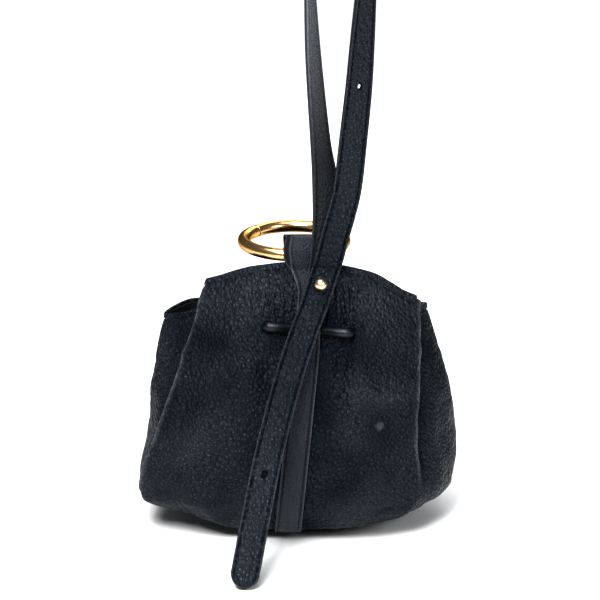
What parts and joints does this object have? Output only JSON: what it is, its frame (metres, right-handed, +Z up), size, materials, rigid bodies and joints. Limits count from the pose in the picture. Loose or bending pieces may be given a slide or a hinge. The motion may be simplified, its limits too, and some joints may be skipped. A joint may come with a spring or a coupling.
{
  "type": "bucket bag",
  "caption": "Small pebbled leather drawstring bucket bag with a folded body, a gold gate ring in a tab and a buttoned strap with a long tail.",
  "frame": {"origin": "on the floor under the middle of the base patch", "axes": "+Z up, -Y towards the front with the stud, +X to the right seen from the front"},
  "size_m": [0.1787, 0.1817, 0.3632],
  "materials": {
    "leather": "satin pebbled grain",
    "smooth_leather": "satin smooth",
    "strap_back": "dull",
    "lace": "smooth",
    "lining": "matte twill",
    "board": "matte",
    "gold": "polished",
    "pale_gold": "polished",
    "steel": "drawn wire"
  },
  "bodies": {
    "bag": {"shell_left": "leather", "shell_right": "leather", "centre_strip": "smooth_leather", "back_strip": "smooth_leather", "mouth_facing": "smooth_leather", "lining": "lining", "slip_pocket": "lining", "base_board": "board", "base_patch": "smooth_leather", "lace": "lace", "lace_knot": "lace", "hole_patches": "smooth_leather", "stud": "pale_gold", "stud_washer": "pale_gold", "stud_screw": "pale_gold"},
    "ring": {"ring": "gold", "gate_pin": "gold", "gate_spring": "steel"},
    "gate": {"ring_gate": "gold"},
    "strap_stud": {"strap_stud_outer": "leather", "strap_stud_inner": "strap_back", "strap_end": "strap_back"},
    "strap_loop": {"strap_loop_outer": "leather", "strap_loop_inner": "strap_back"},
    "strap_tail": {"strap_tail_outer": "leather", "strap_tail_inner": "strap_back"}
  },
  "joints": [
    {"name": "ring_swing", "type": "hinge", "parent": "bag", "child": "ring", "pos_m": [-0.0016, -0.01575, 0.1524], "axis": [1, 0, 0], "range_deg": [-3, 80]},
    {"name": "gate_open", "type": "hinge", "parent": "ring", "child": "gate", "pos_m": [0.01997, 0.02946, 0.1524], "axis": [0, 0, 1], "range_deg": [0, 25], "stiffness_Nm_per_rad": 0.02, "springref_deg": -11.46},
    {"name": "strap_swing", "type": "hinge", "parent": "bag", "child": "strap_stud", "pos_m": [0.01269, -0.02268, 0.13566], "axis": [0, -0.9063, 0.4226], "range_deg": [-8, 8]},
    {"name": "strap_fold", "type": "hinge", "parent": "strap_stud", "child": "strap_loop", "pos_m": [0.0149, -0.0262, 0.14515], "axis": [1, 0, 0], "range_deg": [0, 70]},
    {"name": "tail_lift", "type": "hinge", "parent": "strap_stud", "child": "strap_tail", "pos_m": [0.00967, -0.033, 0.1305], "axis": [-1, 0, 0], "range_deg": [0, 60]}
  ]
}
